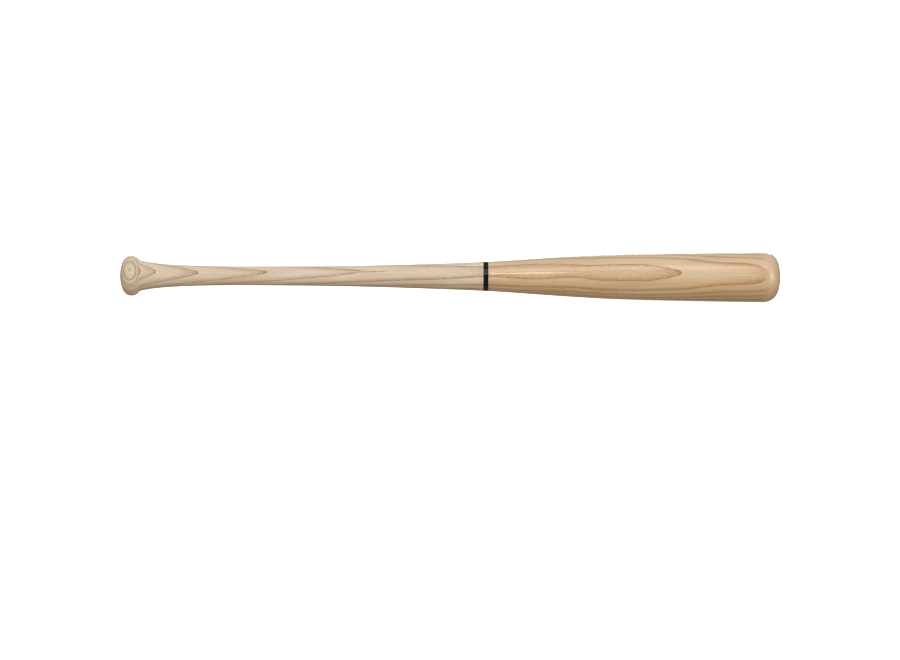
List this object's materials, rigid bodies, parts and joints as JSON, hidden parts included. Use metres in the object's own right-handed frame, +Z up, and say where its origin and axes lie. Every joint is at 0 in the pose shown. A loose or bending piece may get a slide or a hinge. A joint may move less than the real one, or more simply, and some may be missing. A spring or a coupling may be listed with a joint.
{
  "type": "baseball bat",
  "caption": "Adult one-piece wooden bat: domed knob, slim flared handle, tapered barrel with a rounded end, printed band and plain marks.",
  "frame": {"origin": "centre of the small flat on the knob's end", "axes": "+X along the bat's axis from the knob to the barrel end, +Z up, printed marks on the +Y side"},
  "size_m": [0.8382, 0.0636, 0.0636],
  "materials": {
    "ash_wood": "clear lacquer on the barrel, bare sanded wood on the handle and knob",
    "black_print": "glossy black transfer film"
  },
  "bodies": {
    "root": {"ash_body": "ash_wood", "throat_band": "black_print", "emblem_outline": "black_print", "emblem_ball": "black_print", "label_rule": "black_print", "label_blocks": "black_print", "label_tag": "black_print", "label_dashes": "black_print"}
  },
  "joints": []
}
